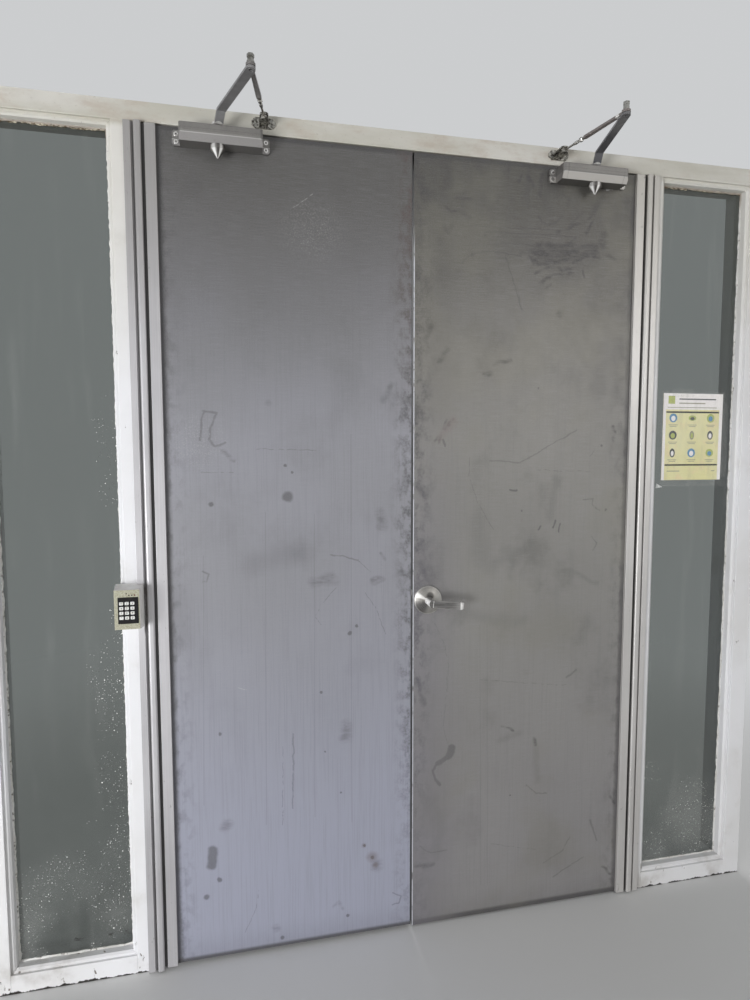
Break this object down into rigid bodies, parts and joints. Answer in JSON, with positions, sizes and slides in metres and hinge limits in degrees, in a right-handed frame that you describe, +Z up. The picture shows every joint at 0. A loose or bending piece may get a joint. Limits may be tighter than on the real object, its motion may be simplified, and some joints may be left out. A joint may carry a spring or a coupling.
{
  "type": "steel double door with sidelights",
  "caption": "Pair of flush steel leaves on full-height geared hinges in a painted timber frame with fixed glazed sidelights, surface closers, lever handles and a keypad.",
  "frame": {"origin": "centre of the head's top face, above the line where the leaves meet and midway through the frame's depth", "axes": "+Z up, +X to the right seen from the side that the leaves open to, -Y towards that side"},
  "size_m": [2.343, 0.3834, 2.3355],
  "materials": {
    "frame_paint": "chipped off-white paint on timber",
    "leaf_steel": "worn grey primed steel",
    "pane": "clear, dusty",
    "hinge_alloy": "clear anodised",
    "closer_silver": "silver paint",
    "arm_steel": "grey painted steel",
    "arm_plated": "zinc plated",
    "bright_chrome": "polished",
    "satin_steel": "satin",
    "keypad_shell": "beige painted casting",
    "keypad_face": "matt black",
    "key_white": "white",
    "notice_paper": "printed sheet in a clear sleeve"
  },
  "bodies": {
    "frame": {"head_rail": "frame_paint", "door_stops": "frame_paint", "keypad_case": "keypad_shell", "keypad_panel": "keypad_face", "keypad_keys": "key_white", "notice_sheet": "notice_paper", "left_mullion_post": "frame_paint", "left_outer_stile": "frame_paint", "left_bottom_rail": "frame_paint", "left_front_beads": "frame_paint", "left_back_beads": "frame_paint", "left_glass": "pane", "left_hinge_frame_plate": "hinge_alloy", "left_closer_shoe": "arm_plated", "right_mullion_post": "frame_paint", "right_outer_stile": "frame_paint", "right_bottom_rail": "frame_paint", "right_front_beads": "frame_paint", "right_back_beads": "frame_paint", "right_glass": "pane", "right_hinge_frame_plate": "hinge_alloy", "right_closer_shoe": "arm_plated"},
    "left_cap": {"left_hinge_cap": "hinge_alloy"},
    "left_door": {"left_leaf": "leaf_steel", "left_hinge_leaf_plate": "hinge_alloy", "left_closer_plate": "closer_silver", "left_closer_body": "closer_silver", "left_closer_spindle_cap": "bright_chrome", "strike_plate": "satin_steel"},
    "left_arm": {"left_main_arm": "arm_steel"},
    "left_link": {"left_forearm": "arm_steel", "left_elbow_pin": "arm_plated"},
    "right_cap": {"right_hinge_cap": "hinge_alloy"},
    "right_door": {"right_leaf": "leaf_steel", "right_hinge_leaf_plate": "hinge_alloy", "right_closer_plate": "closer_silver", "right_closer_body": "closer_silver", "right_closer_spindle_cap": "bright_chrome", "outer_rose": "satin_steel", "inner_rose": "satin_steel", "latch_plate": "satin_steel"},
    "right_arm": {"right_main_arm": "arm_steel"},
    "right_link": {"right_forearm": "arm_steel", "right_elbow_pin": "arm_plated"},
    "outer_handle": {"outer_lever": "satin_steel"},
    "inner_handle": {"inner_lever": "satin_steel"}
  },
  "joints": [
    {"name": "left_door_swing", "type": "hinge", "parent": "left_cap", "child": "left_door", "pos_m": [-0.722, -0.0668, -1.2], "axis": [0, 0, -1], "range_deg": [0, 50], "stiffness_Nm_per_rad": 24},
    {"name": "left_cap_turn", "type": "hinge", "parent": "frame", "child": "left_cap", "pos_m": [-0.729, -0.0668, -1.2], "axis": [0, 0, -1], "range_deg": [0, 50]},
    {"name": "left_arm_turn", "type": "hinge", "parent": "left_door", "child": "left_arm", "pos_m": [-0.5285, -0.0875, -0.03], "axis": [0, 0, -1], "range_deg": [-169, 0]},
    {"name": "left_link_turn", "type": "hinge", "parent": "frame", "child": "left_link", "pos_m": [-0.41, -0.0925, -0.022], "axis": [0, 0, -1], "range_deg": [0, 28.1]},
    {"name": "right_door_swing", "type": "hinge", "parent": "right_cap", "child": "right_door", "pos_m": [0.7365, -0.0668, -1.2], "axis": [0, 0, 1], "range_deg": [0, 50], "stiffness_Nm_per_rad": 24},
    {"name": "right_cap_turn", "type": "hinge", "parent": "frame", "child": "right_cap", "pos_m": [0.7435, -0.0668, -1.2], "axis": [0, 0, 1], "range_deg": [0, 50]},
    {"name": "right_arm_turn", "type": "hinge", "parent": "right_door", "child": "right_arm", "pos_m": [0.543, -0.0875, -0.03], "axis": [0, 0, 1], "range_deg": [-170.3, 0]},
    {"name": "right_link_turn", "type": "hinge", "parent": "frame", "child": "right_link", "pos_m": [0.439, -0.0925, -0.022], "axis": [0, 0, 1], "range_deg": [0, 20.1]},
    {"name": "outer_lever_turn", "type": "hinge", "parent": "right_door", "child": "outer_handle", "pos_m": [0.048, -0.0875, -1.32], "axis": [0, 1, 0], "range_deg": [0, 50], "stiffness_Nm_per_rad": 1.2},
    {"name": "inner_lever_turn", "type": "hinge", "parent": "right_door", "child": "inner_handle", "pos_m": [0.048, 0.017, -1.32], "axis": [0, 1, 0], "range_deg": [0, 50], "stiffness_Nm_per_rad": 1.2}
  ],
  "couplings": [
    {"joint": "left_cap_turn", "follows": "left_door_swing", "ratio": 1},
    {"joint": "left_arm_turn", "follows": "left_door_swing", "ratio": -3.3749},
    {"joint": "left_link_turn", "follows": "left_door_swing", "ratio": 0.55533},
    {"joint": "right_cap_turn", "follows": "right_door_swing", "ratio": 1},
    {"joint": "right_arm_turn", "follows": "right_door_swing", "ratio": -3.4001},
    {"joint": "right_link_turn", "follows": "right_door_swing", "ratio": 0.39608}
  ]
}
